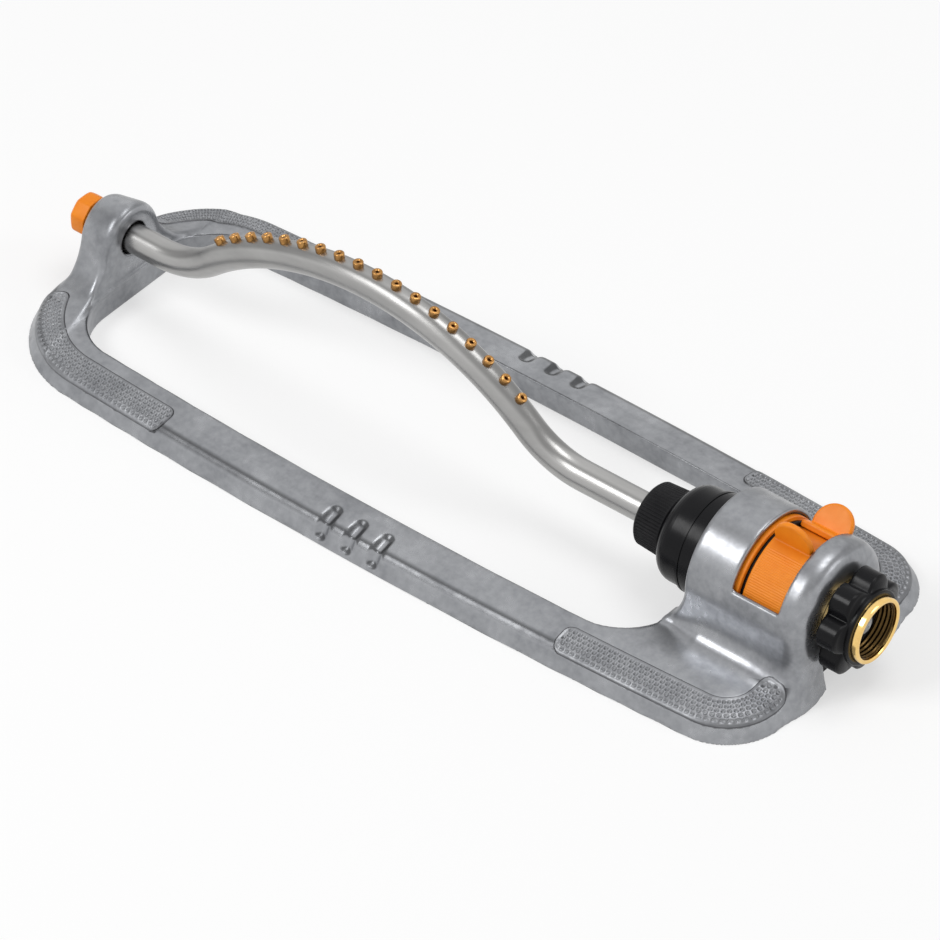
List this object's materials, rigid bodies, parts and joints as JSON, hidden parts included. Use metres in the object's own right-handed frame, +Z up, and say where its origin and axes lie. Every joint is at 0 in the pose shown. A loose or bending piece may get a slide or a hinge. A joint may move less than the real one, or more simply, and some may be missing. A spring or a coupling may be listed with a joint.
{
  "type": "oscillating lawn sprinkler",
  "caption": "Oscillating lawn sprinkler: cast metal base, arched spray tube with brass nozzles, water motor with two range stops, flow knob, clean-out plug and hose swivel.",
  "frame": {"origin": "centre of the bounding box, on the ground plane", "axes": "+X along the sweep axis from the clean-out plug to the hose inlet, +Z up"},
  "size_m": [0.48, 0.1696, 0.094],
  "materials": {
    "cast_metal": "die cast and tumbled, mottled satin",
    "tube_metal": "drawn and brushed along its length",
    "orange_plastic": "moulded, soft gloss",
    "black_gloss": "moulded, glossy",
    "black_matte": "moulded, matte",
    "bright_brass": "turned and polished",
    "nozzle_brass": "turned, slightly tarnished",
    "rubber": "matte",
    "white_plastic": "moulded acetal",
    "steel": "plain",
    "screen": "fine woven mesh"
  },
  "bodies": {
    "base": {"base_casting": "cast_metal", "tower_bush": "black_matte", "bottom_cover": "black_matte", "cover_screws": "steel", "case_front": "black_gloss", "case_rear": "black_gloss", "case_seal": "rubber", "case_screws": "steel", "gear_plate": "white_plastic", "idler_pin": "steel", "jet_plate": "white_plastic", "stop_carrier": "orange_plastic", "trip_spring": "steel", "inlet_stem": "black_matte", "stem_seal": "rubber", "stem_ring": "bright_brass", "filter_screen": "screen"},
    "spray_arm": {"spray_tube": "tube_metal", "nozzles": "nozzle_brass", "end_sleeve": "tube_metal", "tube_socket": "black_gloss", "socket_seals": "rubber", "output_gear": "white_plastic", "drive_rod": "steel", "trip_arm": "white_plastic"},
    "knob": {"flow_knob": "black_matte"},
    "plug": {"end_plug": "orange_plastic", "plug_seal": "rubber", "cleaning_pin": "steel"},
    "near_slider": {"near_stop": "orange_plastic"},
    "far_slider": {"far_stop": "orange_plastic"},
    "swivel": {"swivel_nut": "black_matte", "hose_insert": "bright_brass", "hose_washer": "rubber"},
    "third_stage": {"third_gear": "white_plastic"},
    "second_stage": {"second_gear": "white_plastic"},
    "first_stage": {"first_gear": "white_plastic"},
    "rotor": {"turbine": "white_plastic"},
    "reverser": {"diverter": "white_plastic"}
  },
  "joints": [
    {"name": "tube_sweep", "type": "hinge", "parent": "base", "child": "spray_arm", "pos_m": [0, 0, 0.035], "axis": [1, 0, 0], "range_deg": [-45, 45]},
    {"name": "knob_turn", "type": "hinge", "parent": "spray_arm", "child": "knob", "pos_m": [0, 0, 0.035], "axis": [1, 0, 0], "range_deg": [0, 90]},
    {"name": "plug_pull", "type": "slide", "parent": "spray_arm", "child": "plug", "axis": [-1, 0, 0], "range_m": [0, 0.03]},
    {"name": "near_stop_slide", "type": "hinge", "parent": "base", "child": "near_slider", "pos_m": [0, 0, 0.035], "axis": [1, 0, 0], "range_deg": [-12, 45]},
    {"name": "far_stop_slide", "type": "hinge", "parent": "base", "child": "far_slider", "pos_m": [0, 0, 0.035], "axis": [1, 0, 0], "range_deg": [-14, 25]},
    {"name": "hose_swivel", "type": "hinge", "parent": "base", "child": "swivel", "pos_m": [0, 0, 0.035], "axis": [1, 0, 0], "continuous": true},
    {"name": "third_gear_turn", "type": "hinge", "parent": "base", "child": "third_stage", "pos_m": [0, 0, 0.0476], "axis": [1, 0, 0], "range_deg": [-92, 92]},
    {"name": "second_gear_turn", "type": "hinge", "parent": "base", "child": "second_stage", "pos_m": [0, 0, 0.035], "axis": [1, 0, 0], "range_deg": [-184, 184]},
    {"name": "first_gear_turn", "type": "hinge", "parent": "base", "child": "first_stage", "pos_m": [0, 0, 0.0476], "axis": [1, 0, 0], "range_deg": [-368, 368]},
    {"name": "turbine_spin", "type": "hinge", "parent": "base", "child": "rotor", "pos_m": [0, 0, 0.035], "axis": [1, 0, 0], "range_deg": [-730, 730]},
    {"name": "diverter_rock", "type": "hinge", "parent": "base", "child": "reverser", "pos_m": [0, 0, 0.035], "axis": [1, 0, 0], "range_deg": [-8, 8]}
  ],
  "couplings": [
    {"joint": "third_gear_turn", "follows": "tube_sweep", "ratio": -2},
    {"joint": "second_gear_turn", "follows": "tube_sweep", "ratio": 4},
    {"joint": "first_gear_turn", "follows": "tube_sweep", "ratio": -8},
    {"joint": "turbine_spin", "follows": "tube_sweep", "ratio": 16}
  ]
}
